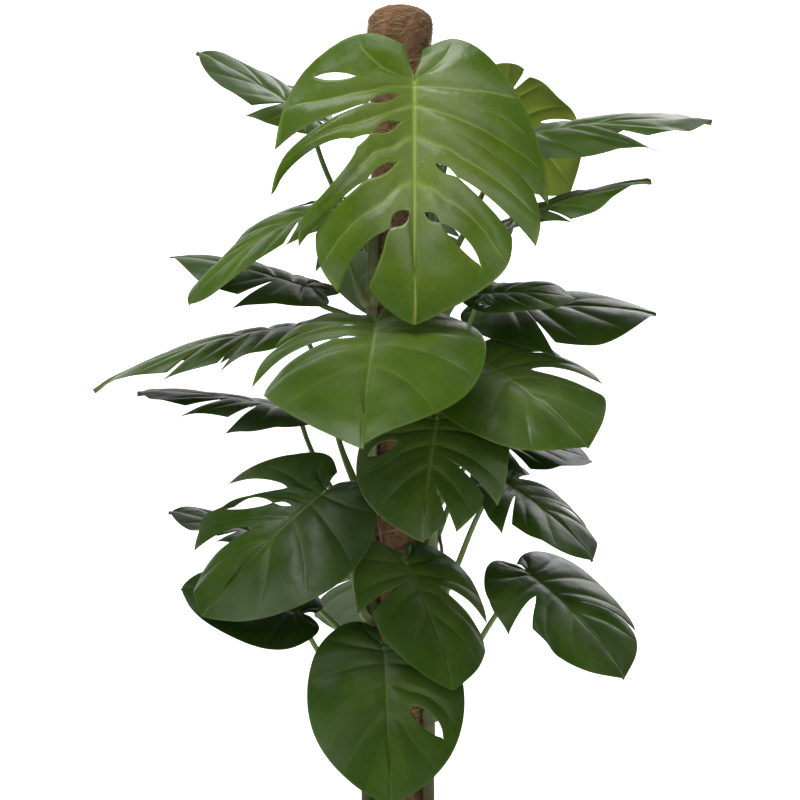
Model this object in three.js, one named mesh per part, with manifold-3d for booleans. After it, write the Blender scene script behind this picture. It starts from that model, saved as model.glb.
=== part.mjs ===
// A potted monstera on a coir pole: a nursery pot of soil, a pole with three stems climbing it,
// and split leaves on long stalks. Millimetres, +Z up, the origin under the middle of the pot,
// and the plant's front towards -Y.
import * as THREE from "three";
import { mergeVertices } from "three/addons/utils/BufferGeometryUtils.js";
import Module from "manifold-3d";

// Pot and soil
const potHeight = 220;
const potRimRadius = 120;
const potFootRadius = 92;
const potWall = 2.4;
const potFloor = 3;
const rimBandHeight = 20;
const rimBandOverhang = 4;
const drainHoleRadius = 6;
const drainHoles = 8;
const drainHoleInset = 16;
const soilBelowRim = 26;
const soilGap = 0.3;

// Pole
const poleRadius = 29;
const poleAboveRim = 826;
const heightsDrawnFor = 826;
const coreRadius = 11;
const coreAbovePotFloor = 12;
const coirBelowSoil = 30;
const poleHeadFlare = 3.5;

// Stems, stalks and roots
const stemRadius = 6.5;
const stemBelowSoil = 35;
const stalkRadius = 2.9;
const rootRadius = 1.6;
const touchGap = 0.35;

// Blades
const bladeThickness = 1.2;
const lobesPerSide = 6;
const cellsAcrossLobe = 2;
const ringsAlongLobe = [0, 0.3, 0.55, 0.8, 1];

const colours = {
  pot: [0x26272a, 0.55],
  soil: [0x2e2118, 0.95],
  core: [0x9a7a4c, 0.8],
  coir: [0x8a5c3a, 0.95],
  stem: [0x5d7238, 0.55],
  root: [0x6b4a33, 0.8],
  young: [0x5f8a24, 0.4],
  leaf: [0x36591d, 0.42],
  back: [0x7c8a3c, 0.5],
};

const rimZ = potHeight;
const soilZ = potHeight - soilBelowRim;
const degrees = Math.PI / 180;
const wasm = await Module();
wasm.setup();

const plant = new THREE.Group();

function addMesh(name, geometry, look) {
  const [color, roughness] = colours[look];
  const material = new THREE.MeshStandardMaterial({ color, roughness, metalness: 0 });
  const mesh = new THREE.Mesh(geometry, material);
  mesh.name = name;
  plant.add(mesh);
  return mesh;
}

// Solids for cutting

function toSolid(geometry) {
  const bare = geometry.clone();
  bare.deleteAttribute("normal");
  bare.deleteAttribute("uv");
  const merged = mergeVertices(bare, 1e-3);
  return new wasm.Manifold(new wasm.Mesh({
    numProp: 3,
    vertProperties: merged.attributes.position.array,
    triVerts: new Uint32Array(merged.index.array),
  }));
}

function toGeometry(solid) {
  const { vertProperties, triVerts } = solid.getMesh();
  return new THREE.BufferGeometry()
    .setAttribute("position", new THREE.BufferAttribute(vertProperties, 3))
    .setIndex(new THREE.BufferAttribute(triVerts, 1));
}

// A lathe profile is turned about +Z: its points are [radius, height].
function lathe(profile, segments) {
  const points = profile.map(([radius, height]) => new THREE.Vector2(radius, height));
  return new THREE.LatheGeometry(points, segments).rotateX(Math.PI / 2);
}

function uprightCylinder(radius, height, x, y, z, segments = 24) {
  return new THREE.CylinderGeometry(radius, radius, height, segments)
    .rotateX(Math.PI / 2)
    .translate(x, y, z + height / 2);
}

function tube(path, radius, steps, sides = 6) {
  const section = new THREE.Shape(
    Array.from({ length: sides }, (_, i) => {
      const angle = (i / sides) * 2 * Math.PI;
      return new THREE.Vector2(radius * Math.cos(angle), radius * Math.sin(angle));
    }),
  );
  return new THREE.ExtrudeGeometry(section, { steps, extrudePath: path });
}

// A bearing of 0 points to the front (-Y) and 90 to +X.
function onBearing(bearing, radius, z) {
  const angle = bearing * degrees;
  return new THREE.Vector3(radius * Math.sin(angle), -radius * Math.cos(angle), z);
}

// Pot, soil and pole

function potRadiusAt(z) {
  return potFootRadius + (potRimRadius - rimBandOverhang - potFootRadius) * (z / potHeight);
}

function makePot() {
  const bandZ = potHeight - rimBandHeight;
  const innerTop = potRadiusAt(potHeight) - potWall;
  const shell = toSolid(lathe([
    [0, 0],
    [potFootRadius - 2, 0],
    [potFootRadius, 2],
    [potRadiusAt(bandZ), bandZ],
    [potRimRadius - 1, bandZ + 1],
    [potRimRadius, potHeight - 2],
    [potRimRadius - 2, potHeight],
    [innerTop, potHeight],
    [potRadiusAt(potFloor) - potWall, potFloor],
    [0, potFloor],
  ], 48));
  const holeRing = potFootRadius - drainHoleRadius - drainHoleInset;
  let cut = shell;
  for (let i = 0; i < drainHoles; i++) {
    const at = onBearing((i / drainHoles) * 360, holeRing, 0);
    const drill = toSolid(uprightCylinder(drainHoleRadius, potFloor + 4, at.x, at.y, -2, 12));
    cut = cut.subtract(drill);
  }
  addMesh("pot", toGeometry(cut), "pot");
}

const coreBottom = potFloor + coreAbovePotFloor;
const coirBottom = soilZ - coirBelowSoil;
const poleTop = rimZ + poleAboveRim;
const coreTop = poleTop - 25;

function makePole() {
  addMesh("pole_core", uprightCylinder(coreRadius, coreTop - coreBottom, 0, 0, coreBottom, 16), "core");
  const bore = coreRadius + touchGap;
  const headZ = poleTop - 60;
  addMesh("pole_coir", lathe([
    [bore, coirBottom],
    [poleRadius, coirBottom],
    [poleRadius, headZ],
    [poleRadius + poleHeadFlare, poleTop - 25],
    [poleRadius + poleHeadFlare, poleTop - 10],
    [poleRadius - 3, poleTop],
    [0, poleTop],
    [0, coreTop + touchGap],
    [bore, coreTop + touchGap],
    [bore, coirBottom],
  ], 28), "coir");
}

// Stems climb the coir. Each leans a little round the pole as it rises. Heights on the plant are
// drawn for one pole, and spread or close up with the pole that is set.
const climb = poleAboveRim / heightsDrawnFor;

const stemOrbit = poleRadius + stemRadius + touchGap + 1;
const stems = {
  stem_left: { foot: -62, head: -44, top: 640 * climb },
  stem_right: { foot: 48, head: 70, top: 690 * climb },
  stem_back: { foot: 172, head: 196, top: 600 * climb },
};

function stemPoint(stem, height) {
  const { foot, head, top } = stems[stem];
  const share = height / top;
  return onBearing(foot + (head - foot) * share, stemOrbit, rimZ + height);
}

function stemPath(stem) {
  const steps = 8;
  const low = -soilBelowRim - stemBelowSoil;
  const { top } = stems[stem];
  return new THREE.CatmullRomCurve3(
    Array.from({ length: steps + 1 }, (_, i) => stemPoint(stem, low + ((top - low) * i) / steps)),
  );
}

function makeStems() {
  for (const name of Object.keys(stems)) {
    addMesh(name, tube(stemPath(name), stemRadius, 14, 8), "stem");
  }
}

// Air roots leave a stem on one side and hang free beside the pole.
const roots = {
  air_root_right: { stem: "stem_right", from: 300 * climb, drop: 190 * climb, turn: 27 },
  air_root_left: { stem: "stem_left", from: 330 * climb, drop: 90 * climb, turn: 27 },
  air_root_back: { stem: "stem_back", from: 270 * climb, drop: 230 * climb, turn: 27 },
};

function makeRoots() {
  for (const [name, { stem, from, drop, turn }] of Object.entries(roots)) {
    const { foot, head, top } = stems[stem];
    const bearing = foot + ((head - foot) * from) / top;
    const clear = stemRadius + rootRadius + touchGap + 1;
    const firstTurn = (clear / stemOrbit) / degrees;
    const path = new THREE.CatmullRomCurve3([
      onBearing(bearing + firstTurn, stemOrbit, rimZ + from),
      onBearing(bearing + turn * 0.7, stemOrbit + 5, rimZ + from - drop * 0.06),
      onBearing(bearing + turn, stemOrbit + 8, rimZ + from - drop * 0.3),
      onBearing(bearing + turn * 1.15, stemOrbit + 5, rimZ + from - drop * 0.7),
      onBearing(bearing + turn, stemOrbit + 8, rimZ + from - drop),
    ]);
    addMesh(name, tube(path, rootRadius, 12, 5), "root");
  }
}

function makeSoil() {
  const wallGap = potWall + soilGap;
  const bottom = potFloor + soilGap;
  let soil = toSolid(lathe([
    [0, bottom],
    [potRadiusAt(bottom) - wallGap, bottom],
    [potRadiusAt(soilZ - 4) - wallGap, soilZ - 4],
    [potRadiusAt(soilZ) - wallGap - 12, soilZ],
    [poleRadius + touchGap, soilZ + 2],
    [poleRadius + touchGap, coirBottom - touchGap],
    [coreRadius + touchGap, coirBottom - touchGap],
    [coreRadius + touchGap, coreBottom - touchGap],
    [0, coreBottom - touchGap],
  ], 48));
  for (const name of Object.keys(stems)) {
    soil = soil.subtract(toSolid(tube(stemPath(name), stemRadius + soilGap * 1.2, 14, 8)));
  }
  addMesh("soil", toGeometry(soil), "soil");
}

// Blades
//
// A blade lies in a flat leaf plane first, as [along, across], with the stalk's end at [0, 0] and
// the tip at [length, 0]. Lines run from the midrib to the margin between its side veins. A cut on
// such a line is a hole where it ends short of the margin, and a split where it reaches it.

const margin = new THREE.SplineCurve([
  [-0.12, 0.07], [-0.175, 0.3], [-0.15, 0.56], [-0.03, 0.86], [0.15, 0.99], [0.36, 1],
  [0.56, 0.91], [0.73, 0.73], [0.87, 0.46], [0.96, 0.17], [1, 0],
].map(([along, across]) => new THREE.Vector2(along, across)));

// A side's lobes may sweep further towards the tip, and be narrower, than the usual outline.
function marginPoint(leaf, side, share) {
  const { sweep, breadth } = leaf.shape[side];
  const p = margin.getPoint(share);
  const along = p.x + sweep * p.y ** 2 * (1 - Math.max(p.x, 0));
  return new THREE.Vector2(along * leaf.length, (p.y * breadth * leaf.width) / 2);
}

function lineBetweenVeins(leaf, side, index) {
  const { lines } = leaf.shape[side];
  const inner = index > 0 && index < lobesPerSide;
  const wander = inner && lines === usual.lines ? 0.014 * Math.sin(5 * index + leaf.seed) : 0;
  const start = new THREE.Vector2(leaf.length * 0.8 * usual.lines[index] ** 2.2, 0);
  const end = marginPoint(leaf, side, lines[index] + wander);
  const bend = new THREE.Vector2(
    start.x + 0.35 * (end.x - start.x),
    start.y + 0.62 * (end.y - start.y),
  );
  return { line: new THREE.QuadraticBezierCurve(start, bend, end), share: lines[index] + wander };
}

function cutHalfWidth(cut, s) {
  if (!cut) return 0;
  const [, from, to, width] = cut;
  if (s <= from || s >= Math.min(to, 1.001)) return 0;
  const open = (s - from) / (Math.min(to, 1) - from);
  const shape = to >= 1 ? Math.sqrt(open) * (0.75 + 0.25 * open) : Math.sin(Math.PI * open) ** 0.7;
  return (width / 2) * shape;
}

// One side's grid of flat points, lobe by lobe. Neighbouring lobes share the points of the line
// between them, except where a cut holds them apart. A lobe's near corner at a split is rounded
// off, and its far corner runs on a little, so a free lobe hooks towards the tip.
function sideGrid(leaf, side) {
  const cuts = leaf[side];
  const lines = Array.from({ length: lobesPerSide + 1 }, (_, i) => lineBetweenVeins(leaf, side, i));
  const cutOn = (index) => cuts.find(([line]) => line === index);
  const edge = (index, s, sign) => {
    const { line } = lines[index];
    const tangent = line.getTangent(s);
    const across = new THREE.Vector2(tangent.y, -tangent.x);
    return line.getPoint(s).addScaledVector(across, sign * cutHalfWidth(cutOn(index), Math.min(s, 1)));
  };
  return Array.from({ length: lobesPerSide }, (_, lobe) => {
    const splitBehind = (cutOn(lobe)?.[2] ?? 0) >= 1;
    const splitAhead = (cutOn(lobe + 1)?.[2] ?? 0) >= 1;
    return Array.from({ length: cellsAcrossLobe + 1 }, (_, i) => {
      const t = i / cellsAcrossLobe;
      const short = (splitBehind ? 0.12 * (1 - t) ** 3 : 0) - (splitAhead ? 0.03 * t ** 3 : 0);
      return ringsAlongLobe.map((ring) => {
        const s = ring < 1 ? ring : 1 - short;
        const share = THREE.MathUtils.lerp(lines[lobe].share, lines[lobe + 1].share, t);
        const chord = lines[lobe].line.getPoint(1).lerp(lines[lobe + 1].line.getPoint(1), t);
        const bulge = marginPoint(leaf, side, share).sub(chord).multiplyScalar(s ** 3);
        const point = edge(lobe, s, 1).lerp(edge(lobe + 1, s, -1), t).add(bulge);
        return { along: point.x, across: point.y, s, lobe: lobe + t };
      });
    });
  });
}

// Bends a flat point into the blade's real shape, before it is turned to its heading.
// The midrib arcs down by leaf.droop, each side folds up by leaf.fold and then curls down by
// leaf.curl, and the lobes lift and sink a little by turns.
function bendPoint(leaf, side, point) {
  const steps = 8;
  const u = point.along;
  let x = 0;
  let z = 0;
  let pitch = 0;
  for (let i = 0; i < steps; i++) {
    const at = ((i + 0.5) / steps) * u;
    pitch = -leaf.droop * degrees * Math.max(at / leaf.length, -0.3);
    x += (Math.cos(pitch) * u) / steps;
    z += (Math.sin(pitch) * u) / steps;
  }
  pitch = -leaf.droop * degrees * Math.max(u / leaf.length, -0.3);
  let out = 0;
  let up = 0;
  for (let i = 0; i < steps; i++) {
    const q = ((i + 0.5) / steps) * point.across;
    const angle = (leaf.fold - leaf.curl * (q / (leaf.width / 2))) * degrees;
    out += (Math.cos(angle) * point.across) / steps;
    up += (Math.sin(angle) * point.across) / steps;
  }
  up += 0.018 * leaf.length * point.s ** 2 * Math.sin(2.3 * point.lobe + leaf.seed + side);
  return new THREE.Vector3(x - Math.sin(pitch) * up, side * out, z + Math.cos(pitch) * up);
}

// Turns blade space (x along the midrib, y to the blade's right, z out of its upper face) to the
// leaf's heading, pitch and roll, at the stalk's end.
function bladeMatrix(leaf) {
  const heading = leaf.heading * degrees;
  const pitch = leaf.pitch * degrees;
  const roll = leaf.roll * degrees;
  const level = new THREE.Vector3(Math.sin(heading), -Math.cos(heading), 0);
  const up = new THREE.Vector3(0, 0, 1);
  const along = level.clone().multiplyScalar(Math.cos(pitch)).addScaledVector(up, Math.sin(pitch));
  const normal = level.clone().multiplyScalar(-Math.sin(pitch)).addScaledVector(up, Math.cos(pitch));
  const right = new THREE.Vector3().crossVectors(along, normal);
  const rolledRight = right.clone().multiplyScalar(Math.cos(roll))
    .addScaledVector(normal, -Math.sin(roll));
  const rolledNormal = normal.clone().multiplyScalar(Math.cos(roll))
    .addScaledVector(right, Math.sin(roll));
  const matrix = new THREE.Matrix4().makeBasis(along, rolledRight, rolledNormal);
  return matrix.setPosition(bladeBase(leaf));
}

function bladeBase(leaf) {
  return onBearing(leaf.bearing, poleRadius + leaf.reach, rimZ + leaf.height);
}

// Gives a bent sheet its thickness: an upper and a lower skin, and a wall round every edge that
// only one cell uses.
function thicken(points, cells, thickness) {
  const normals = points.map(() => new THREE.Vector3());
  for (const [a, b, c, d] of cells) {
    const n = new THREE.Vector3().crossVectors(
      points[c].clone().sub(points[a]),
      points[d].clone().sub(points[b]),
    );
    for (const corner of [a, b, c, d]) normals[corner].add(n);
  }
  const positions = [];
  for (const side of [0.5, -0.5]) {
    points.forEach((p, i) => {
      const q = p.clone().addScaledVector(normals[i].clone().normalize(), side * thickness);
      positions.push(q.x, q.y, q.z);
    });
  }
  const under = points.length;
  const index = [];
  const uses = new Map();
  for (const [a, b, c, d] of cells) {
    index.push(a, b, c, a, c, d, under + a, under + c, under + b, under + a, under + d, under + c);
    for (const [from, to] of [[a, b], [b, c], [c, d], [d, a]]) {
      const back = `${to} ${from}`;
      if (uses.has(back)) uses.delete(back);
      else uses.set(`${from} ${to}`, [from, to]);
    }
  }
  for (const [from, to] of uses.values()) {
    index.push(from, under + from, to, to, under + from, under + to);
  }
  return new THREE.BufferGeometry()
    .setAttribute("position", new THREE.Float32BufferAttribute(positions, 3))
    .setIndex(index);
}

function bladeGeometry(leaf) {
  const points = [];
  const cells = [];
  const known = new Map();
  const matrix = bladeMatrix(leaf);
  for (const [side, name] of [[1, "right"], [-1, "left"]]) {
    for (const rows of sideGrid(leaf, name)) {
      const ids = rows.map((row) => row.map((point) => {
        const key = `${point.along.toFixed(2)} ${(side * point.across).toFixed(2)}`;
        if (!known.has(key)) {
          known.set(key, points.length);
          points.push(bendPoint(leaf, side, point).applyMatrix4(matrix));
        }
        return known.get(key);
      }));
      for (let i = 0; i + 1 < ids.length; i++) {
        for (let k = 0; k + 1 < ids[i].length; k++) {
          const cell = [ids[i][k], ids[i + 1][k], ids[i + 1][k + 1], ids[i][k + 1]];
          if (side > 0) cell.reverse();
          cells.push(cell);
        }
      }
    }
  }
  return thicken(points, cells, bladeThickness);
}

// Stalks leave their stem upwards and meet the blade from below.
function stalkPath(leaf) {
  const node = stemPoint(leaf.stem, leaf.node);
  const base = bladeBase(leaf);
  const normal = new THREE.Vector3().setFromMatrixColumn(bladeMatrix(leaf), 2);
  const outward = new THREE.Vector3(node.x, node.y, 0).normalize();
  const towards = base.clone().sub(node).setZ(0).normalize();
  const away = towards.clone().addScaledVector(outward, Math.max(0, 0.3 - towards.dot(outward)))
    .normalize();
  const start = node.clone().addScaledVector(away, stemRadius + stalkRadius + touchGap + 1.5);
  const arrive = towards.clone().multiplyScalar(0.6).addScaledVector(normal, 0.8).setZ(
    Math.max(0.35, normal.z * 0.8 + 0.3)).normalize();
  const lean = Math.sqrt(Math.max(0, 1 - arrive.dot(normal) ** 2));
  const end = base.clone().addScaledVector(
    normal, -(bladeThickness / 2 + touchGap + stalkRadius * lean + 0.4));
  const span = start.distanceTo(end);
  const leave = away.clone().multiplyScalar(0.55).add(new THREE.Vector3(0, 0, 1)).normalize();
  return new THREE.CubicBezierCurve3(
    start,
    start.clone().addScaledVector(leave, span * 0.4),
    end.clone().addScaledVector(arrive, -span * 0.35),
    end,
  );
}

// Each leaf: the stem and height of its node, where its stalk ends (bearing, reach from the pole
// and height above the pot's rim), the blade's heading, pitch and roll there, its size and bends,
// and its cuts as [line, from, to, width], counted from the base, with shares of the way out.
const usual = {
  droop: 25, fold: 8, curl: 25, roll: 0, sweep: 0.08, right: [], left: [], look: "leaf",
  lines: Array.from({ length: lobesPerSide + 1 }, (_, i) => i / lobesPerSide),
};
const leaves = {
  top_front: {
    stem: "stem_right", node: 600, bearing: 8, reach: 70, height: 742,
    heading: 0, pitch: -74, breadthLeft: 0.97, sweepLeft: 0.22, sweepRight: 0.02, length: 245,
    width: 264, droop: 14, fold: 6, curl: 30, look: "young",
    right: [[1, 0.45, 0.8, 8], [2, 0.3, 1, 8], [3, 0.3, 1, 36], [4, 0.4, 1, 8], [5, 0.35, 1, 24]],
    left: [[3, 0.35, 1, 4], [4, 0.35, 1, 16], [5, 0.3, 0.8, 10]],
    linesRight: [0, 0.3, 0.455, 0.565, 0.66, 0.8, 1],
    linesLeft: [0, 0.2, 0.36, 0.5, 0.64, 0.76, 1],
  },
  crown_left: {
    stem: "stem_back", node: 560, bearing: -90, reach: 58, height: 712,
    heading: -92, pitch: 34, roll: -20, length: 135, width: 135, droop: 10, look: "young",
    right: [[3, 0.3, 1, 8]], left: [[3, 0.3, 1, 8]],
  },
  crown_right: {
    stem: "stem_right", node: 655, bearing: 139, reach: 120, height: 746,
    heading: 85, pitch: -42, roll: -55, length: 135, width: 120, droop: 30, look: "back",
    right: [[2, 0.3, 1, 10], [4, 0.3, 1, 12]], left: [[3, 0.3, 1, 10]],
  },
  long_right: {
    stem: "stem_right", node: 560, bearing: 82, reach: 75, height: 690,
    heading: 86, pitch: 12, sweepRight: 0.22, curl: 40, roll: 16, length: 208, width: 150,
    droop: 16, look: "young",
    right: [[4, 0.3, 1, 12]], left: [[3, 0.3, 1, 14]],
  },
  high_left: {
    stem: "stem_left", node: 530, bearing: -60, reach: 52, height: 620,
    heading: -72, pitch: -18, roll: -14, length: 172, width: 108, droop: 36, look: "young",
    right: [[2, 0.3, 0.8, 16], [4, 0.4, 1, 10]], left: [[3, 0.3, 1, 10]],
  },
  high_right: {
    stem: "stem_right", node: 510, bearing: 65, reach: 90, height: 604,
    heading: 88, pitch: 24, roll: 10, length: 145, width: 130, droop: 16,
    right: [[3, 0.3, 1, 8]], left: [[3, 0.3, 1, 8]],
  },
  high_left_lower: {
    stem: "stem_left", node: 500, bearing: -88, reach: 60, height: 541,
    heading: -98, pitch: 20, curl: 40, roll: -15, length: 150, width: 130, droop: 14,
    right: [[2, 0.4, 0.8, 10], [4, 0.3, 1, 8]], left: [[3, 0.3, 1, 8]],
  },
  right_small: {
    stem: "stem_right", node: 440, bearing: 48, reach: 74, height: 533,
    heading: 84, pitch: 6, roll: 22, length: 95, width: 96, droop: 20,
    right: [[2, 0.4, 0.8, 14]], left: [[3, 0.3, 1, 8]],
  },
  right_far: {
    stem: "stem_right", node: 400, bearing: 102, reach: 62, height: 525,
    heading: 88, pitch: 3, curl: 40, roll: 22, length: 170, width: 165, droop: 14,
    right: [[3, 0.5, 1, 8]], left: [[3, 0.3, 1, 14]],
  },
  middle_front: {
    stem: "stem_left", node: 370, bearing: -16, reach: 56, height: 505,
    heading: -4, pitch: -22, roll: 3, length: 215, width: 218, droop: 22,
    right: [[2, 0.35, 1, 6], [3, 0.3, 1, 26]], left: [],
    linesRight: [0, 0.15, 0.32, 0.47, 0.62, 0.8, 1],
  },
  long_left: {
    stem: "stem_left", node: 335, bearing: -95, reach: 70, height: 503,
    heading: -87, pitch: -5, curl: 40, roll: -8, length: 220, width: 150, droop: 24, look: "young",
    right: [[3, 0.3, 1, 10]], left: [[3, 0.3, 1, 14], [4, 0.4, 1, 14]],
  },
  right_big: {
    stem: "stem_right", node: 330, bearing: 52, reach: 72, height: 466,
    heading: 52, pitch: -24, roll: 22, length: 145, width: 180, droop: 24,
    right: [], left: [[2, 0.5, 1, 8], [3, 0.3, 1, 30]],
    linesLeft: [0, 0.2, 0.4, 0.62, 0.75, 0.88, 1],
  },
  low_left_back: {
    stem: "stem_left", node: 285, bearing: -114, reach: 82, height: 418,
    heading: -95, pitch: 14, curl: 40, roll: -6, length: 170, width: 125, droop: 16,
    right: [[3, 0.3, 1, 8]], left: [[3, 0.3, 1, 12], [4, 0.3, 1, 10]],
  },
  centre: {
    stem: "stem_right", node: 280, bearing: 24, reach: 60, height: 415,
    heading: -12, pitch: -48, length: 140, width: 150, droop: 20,
    right: [[3, 0.4, 0.8, 14]], left: [[4, 0.3, 1, 7], [5, 0.3, 1, 7]],
  },
  right_low: {
    stem: "stem_right", node: 230, bearing: 62, reach: 82, height: 352,
    heading: 64, pitch: -26, roll: 8, length: 125, width: 130, droop: 26,
    right: [[3, 0.3, 1, 8]], left: [[2, 0.3, 1, 20], [4, 0.4, 1, 8]],
  },
  left_big: {
    stem: "stem_left", node: 220, bearing: -40, reach: 82, height: 343,
    heading: -66, pitch: -36, roll: -35, length: 172, width: 178, droop: 22,
    right: [[2, 0.3, 1, 38], [3, 0.3, 0.8, 14], [4, 0.35, 1, 32]], left: [],
    linesRight: [0, 0.25, 0.48, 0.58, 0.72, 0.86, 1],
  },
  left_faint: {
    stem: "stem_left", node: 170, bearing: -111, reach: 122, height: 292,
    heading: -96, pitch: 19, roll: -14, length: 100, width: 90, droop: 12,
    right: [[3, 0.3, 1, 6]], left: [[3, 0.3, 1, 6]],
  },
  low_centre: {
    stem: "stem_right", node: 160, bearing: 3, reach: 67, height: 276,
    heading: 35, pitch: -46, length: 143, width: 140, droop: 20,
    right: [[3, 0.35, 1, 12]], left: [[3, 0.3, 1, 28]],
    linesLeft: [0, 0.17, 0.36, 0.56, 0.7, 0.85, 1],
  },
  low_right: {
    stem: "stem_right", node: 120, bearing: 65, reach: 108, height: 262,
    heading: 53, pitch: -28, roll: 10, length: 148, width: 155, droop: 30,
    right: [[3, 0.35, 1, 22]], left: [[4, 0.6, 1, 5]],
  },
  left_dark: {
    stem: "stem_left", node: 115, bearing: -58, reach: 85, height: 222,
    heading: -85, pitch: 18, roll: -32, length: 120, width: 130, droop: 16,
    right: [[3, 0.3, 1, 8]], left: [],
  },
  lowest: {
    stem: "stem_left", node: 75, bearing: -8, reach: 84, height: 196,
    heading: 6, pitch: -55, length: 160, width: 150, droop: 22,
    right: [], left: [[4, 0.3, 0.8, 16]],
  },
  right_inner: {
    stem: "stem_back", node: 225, bearing: 100, reach: 48, height: 388,
    heading: 93, pitch: 2, roll: 18, length: 122, width: 120, droop: 24,
    right: [[3, 0.3, 1, 14]], left: [[2, 0.3, 1, 10], [4, 0.3, 1, 10]],
  },
  back_high: {
    stem: "stem_back", node: 480, bearing: 184, reach: 66, height: 610,
    heading: 184, pitch: -15, length: 170, width: 150, droop: 40,
    right: [[2, 0.3, 1, 10], [4, 0.3, 1, 12]], left: [[3, 0.3, 1, 10]],
  },
  back_middle: {
    stem: "stem_back", node: 300, bearing: 165, reach: 70, height: 440,
    heading: 168, pitch: -10, length: 180, width: 165, droop: 40,
    right: [[2, 0.3, 1, 10], [4, 0.3, 1, 12]], left: [[3, 0.3, 1, 10]],
  },
  back_low: {
    stem: "stem_back", node: 120, bearing: 188, reach: 90, height: 250,
    heading: 186, pitch: -15, length: 165, width: 150, droop: 40,
    right: [[2, 0.3, 1, 10], [4, 0.3, 1, 12]], left: [[3, 0.3, 1, 10]],
  },
};

Object.keys(leaves).forEach((name, i) => {
  const own = leaves[name];
  const leaf = { ...usual, seed: 1.7 * i, ...own };
  leaf.node *= climb;
  leaf.height *= climb;
  leaf.shape = {
    right: {
      sweep: own.sweepRight ?? usual.sweep,
      breadth: own.breadthRight ?? 1,
      lines: own.linesRight ?? usual.lines,
    },
    left: {
      sweep: own.sweepLeft ?? usual.sweep,
      breadth: own.breadthLeft ?? 1,
      lines: own.linesLeft ?? usual.lines,
    },
  };
  addMesh(`${name}_blade`, bladeGeometry(leaf), leaf.look);
  addMesh(`${name}_stalk`, tube(stalkPath(leaf), stalkRadius, 8, 5), "stem");
});

makePot();
makePole();
makeSoil();
makeStems();
makeRoots();

export default plant;
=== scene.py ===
# A tall monstera on a coir pole in a nursery pot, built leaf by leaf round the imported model.
# Lengths are in metres and angles in degrees. The plant's front faces -Y.
import math

import bpy
import numpy as np
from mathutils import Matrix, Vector


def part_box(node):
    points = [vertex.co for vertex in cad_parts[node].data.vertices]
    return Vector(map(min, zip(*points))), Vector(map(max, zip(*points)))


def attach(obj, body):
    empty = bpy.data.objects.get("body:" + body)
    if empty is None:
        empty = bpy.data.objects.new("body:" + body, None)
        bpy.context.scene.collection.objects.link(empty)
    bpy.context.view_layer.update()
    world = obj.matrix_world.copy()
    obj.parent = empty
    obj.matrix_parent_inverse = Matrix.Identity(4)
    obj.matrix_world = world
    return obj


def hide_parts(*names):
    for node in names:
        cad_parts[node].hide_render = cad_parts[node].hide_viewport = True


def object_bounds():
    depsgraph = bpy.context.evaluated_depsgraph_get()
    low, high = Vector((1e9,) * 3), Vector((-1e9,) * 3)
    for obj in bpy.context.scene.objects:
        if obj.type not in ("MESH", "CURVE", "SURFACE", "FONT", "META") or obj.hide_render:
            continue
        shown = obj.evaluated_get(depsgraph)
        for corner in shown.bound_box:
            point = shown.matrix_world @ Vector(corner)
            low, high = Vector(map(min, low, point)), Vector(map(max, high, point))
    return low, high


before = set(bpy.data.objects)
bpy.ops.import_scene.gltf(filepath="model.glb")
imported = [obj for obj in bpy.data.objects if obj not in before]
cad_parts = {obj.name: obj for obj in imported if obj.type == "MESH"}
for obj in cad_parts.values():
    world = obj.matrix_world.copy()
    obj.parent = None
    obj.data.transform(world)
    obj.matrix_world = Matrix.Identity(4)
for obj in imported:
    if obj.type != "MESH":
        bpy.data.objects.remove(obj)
cadLow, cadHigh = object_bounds()
mm = 0.001

# Main sizes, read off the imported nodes
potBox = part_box("pot")
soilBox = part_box("soil")
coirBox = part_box("pole_coir")
rimZ = potBox[1][2]
soilZ = soilBox[1][2]
poleTop = coirBox[1][2]
poleHeadFlare = 3.5 * mm
poleRadius = (coirBox[1][0] - coirBox[0][0]) / 2 - poleHeadFlare
stemRadius = 6.5 * mm
stalkRadius = 2.9 * mm
stemOrbit = poleRadius + stemRadius + 1.35 * mm


# ---- small helpers

def onBearing(bearing, radius, z):
    # 0 is the front, 90 is +X
    a = math.radians(bearing)
    return np.array([radius * math.sin(a), -radius * math.cos(a), z])


def unit(v):
    return v / (np.linalg.norm(v, axis=-1, keepdims=True) + 1e-12)


def smooth(x):
    x = np.clip(x, 0, 1)
    return x * x * (3 - 2 * x)


def linked(name, data):
    thing = bpy.data.objects.new(name, data)
    bpy.context.scene.collection.objects.link(thing)
    return thing


def plainObject(name, verts, faces):
    mesh = bpy.data.meshes.new(name)
    mesh.from_pydata(verts.tolist(), [], faces)
    return linked(name, mesh)


def addPiece(name, verts, faces, material, replaces=(), attributes=None):
    piece = plainObject(name, verts, faces)
    mesh = piece.data
    for key, values in (attributes or {}).items():
        values = np.asarray(values, dtype=np.float32)
        kind = "FLOAT_VECTOR" if values.ndim == 2 else "FLOAT"
        attribute = mesh.attributes.new(key, kind, "POINT")
        attribute.data.foreach_set("vector" if values.ndim == 2 else "value", values.ravel())
    mesh.materials.append(material)
    mesh.shade_smooth()
    mesh.update()
    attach(piece, "root")
    if replaces:
        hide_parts(*replaces)
    return piece


def framesAlong(points):
    # a steady frame along a path: tangents and two sideways axes
    tangents = unit(np.gradient(points, axis=0))
    start = np.array([0.0, 0.0, 1.0]) if abs(tangents[0][2]) < 0.9 else np.array([1.0, 0.0, 0.0])
    first = unit(start - tangents[0] * np.dot(start, tangents[0]))
    rights = [first]
    for tangent in tangents[1:]:
        side = rights[-1] - tangent * np.dot(rights[-1], tangent)
        rights.append(unit(side))
    rights = np.array(rights)
    return tangents, rights, np.cross(tangents, rights)


def onCircles(radius, angles, z):
    # points on level circles round the plant's axis
    radius, angles, z = np.broadcast_arrays(radius, angles, z)
    return np.stack([radius * np.sin(angles), -radius * np.cos(angles), z], -1).reshape(-1, 3)


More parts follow.
